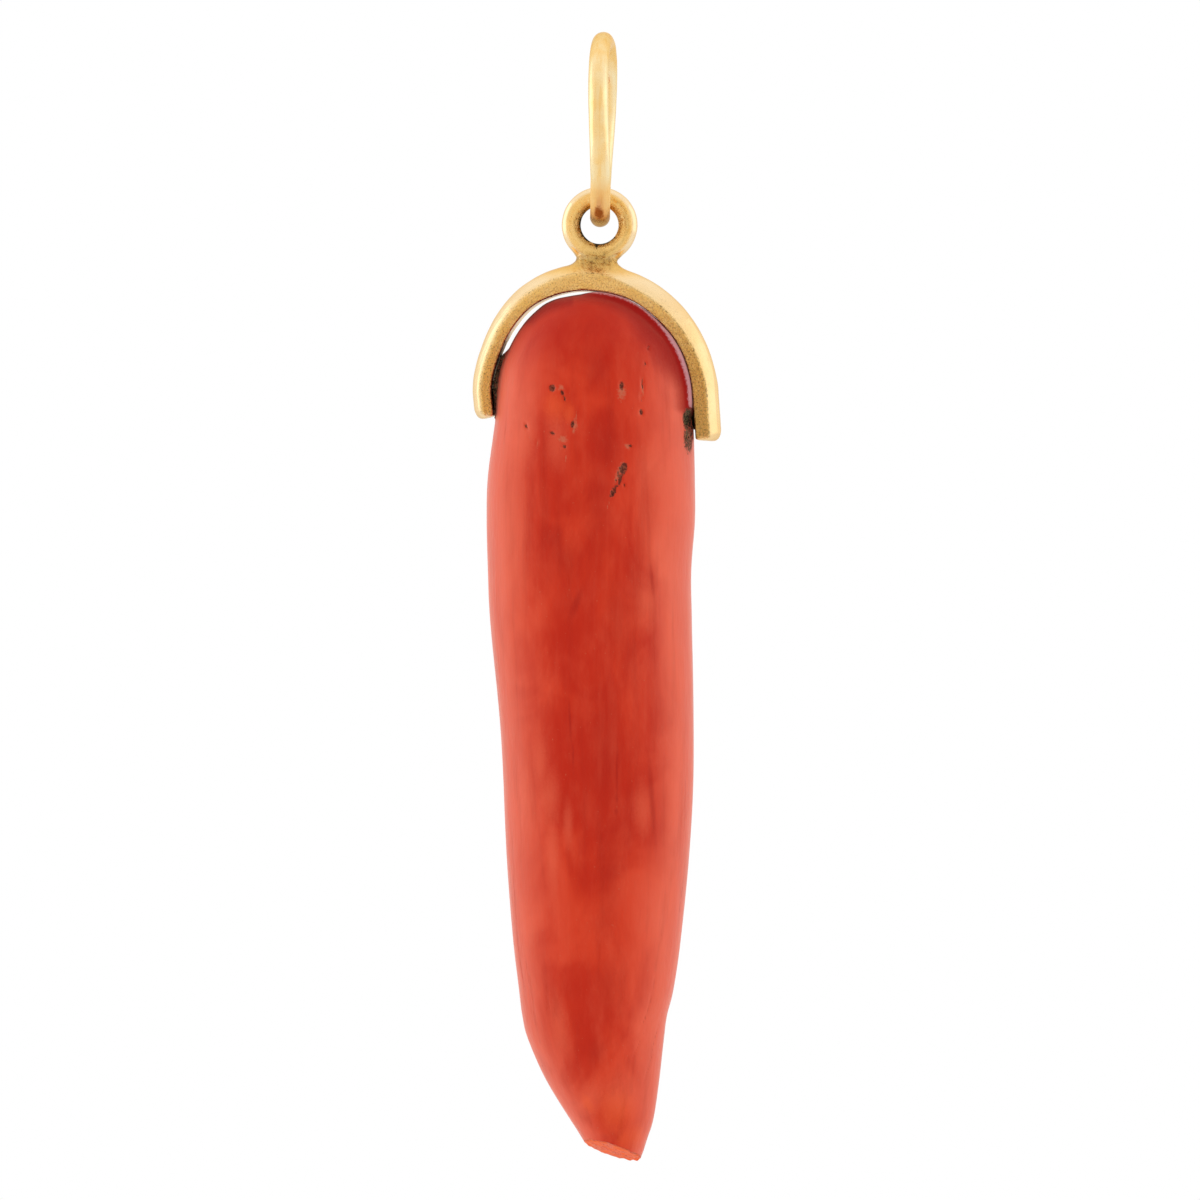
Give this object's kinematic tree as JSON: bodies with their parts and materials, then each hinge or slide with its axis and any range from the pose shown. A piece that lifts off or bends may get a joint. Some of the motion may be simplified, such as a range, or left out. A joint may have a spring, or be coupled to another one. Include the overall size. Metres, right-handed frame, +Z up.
{
  "type": "cornicello horn pendant",
  "caption": "Horn charm of natural red coral with a chipped tip, pinned in an arched gold stirrup whose eye swings on a plain gold bail ring.",
  "frame": {"origin": "where a neck chain bears: the highest point of the bail ring's inner side", "axes": "+Z up as it hangs, +X to the wearer's left as seen from the front, -Y towards the front"},
  "size_m": [0.0123, 0.0098, 0.0566],
  "materials": {
    "polished_gold": "polished yellow gold wire with fine scratches",
    "worn_gold": "worn yellow gold, bright on the dome, granular and speckled on the edges and the solder",
    "pin_gold": "plain drawn gold wire",
    "coral": "satin polished natural red coral with growth lines and pits"
  },
  "bodies": {
    "bail": {"bail_ring": "polished_gold"},
    "pendant": {"stirrup_mount": "worn_gold", "cross_pin": "pin_gold", "coral_horn": "coral"}
  },
  "joints": [
    {"name": "pendant_swing", "type": "hinge", "parent": "bail", "child": "pendant", "pos_m": [0, 0, -0.00825], "axis": [0, 1, 0], "range_deg": [-120, 120]}
  ]
}
